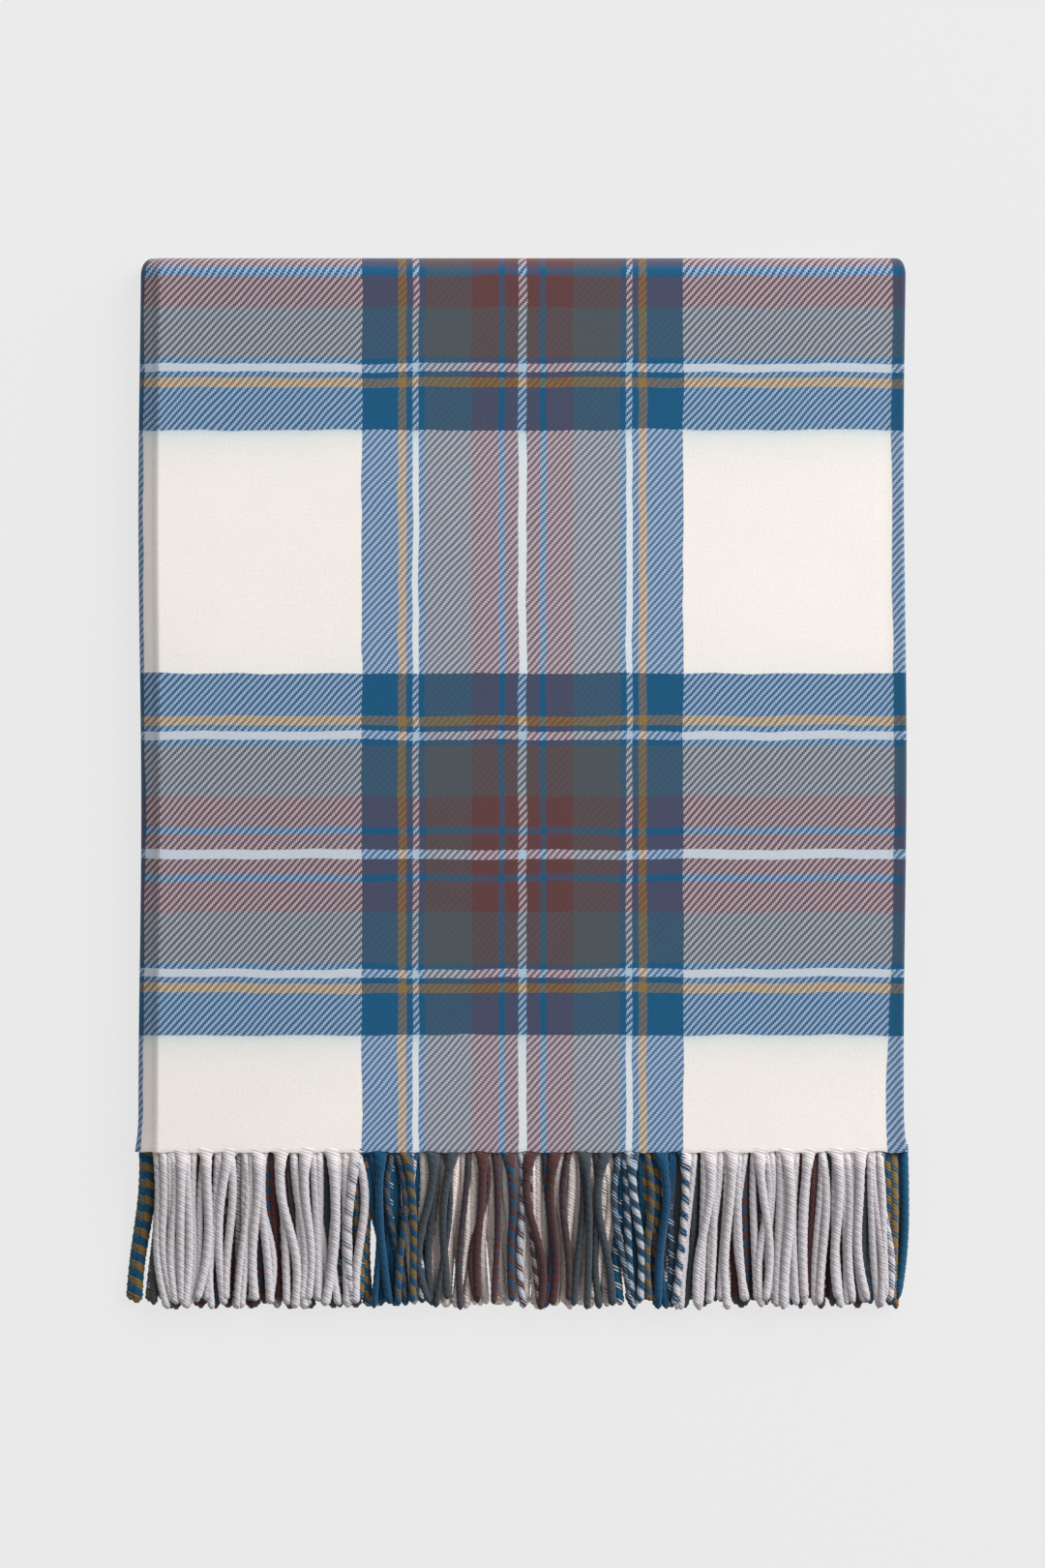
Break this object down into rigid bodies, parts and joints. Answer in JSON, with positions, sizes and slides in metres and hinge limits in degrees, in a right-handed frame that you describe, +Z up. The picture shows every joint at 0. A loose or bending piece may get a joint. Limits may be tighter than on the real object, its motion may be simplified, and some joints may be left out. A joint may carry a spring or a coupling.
{
  "type": "folded throw blanket",
  "caption": "Fringed tartan throw folded in thirds both ways into a flat oblong stack, front section opening about the top fold, twisted tassels along the bottom.",
  "frame": {"origin": "middle of the footprint, on the underside that rests on the surface", "axes": "+X across the folded throw, +Y along it from the open fringe to the top fold, +Z up through the stack"},
  "size_m": [0.4666, 0.642, 0.0245],
  "materials": {
    "tartan_cloth": "brushed twill",
    "cream_yarn": "twisted yarn",
    "blue_yarn": "twisted yarn",
    "charcoal_yarn": "twisted yarn",
    "maroon_yarn": "twisted yarn"
  },
  "bodies": {
    "base": {"back_section": "tartan_cloth", "bottom_fold": "tartan_cloth", "inner_fringe_face": "cream_yarn", "inner_fringe_middle": "cream_yarn", "inner_fringe_under": "cream_yarn", "inner_section": "tartan_cloth", "top_fold": "tartan_cloth"},
    "front": {"fringe_face_blue_left": "blue_yarn", "fringe_face_blue_right": "blue_yarn", "fringe_face_charcoal_left": "charcoal_yarn", "fringe_face_charcoal_right": "charcoal_yarn", "fringe_face_cream_left": "cream_yarn", "fringe_face_cream_right": "cream_yarn", "fringe_face_maroon": "maroon_yarn", "fringe_middle": "cream_yarn", "fringe_under": "cream_yarn", "front_section": "tartan_cloth"}
  },
  "joints": [
    {"name": "front_opening", "type": "hinge", "parent": "base", "child": "front", "pos_m": [0, 0.31717, 0.01222], "axis": [-1, 0, 0], "range_deg": [0, 180], "deforming": ["top_fold"]}
  ]
}
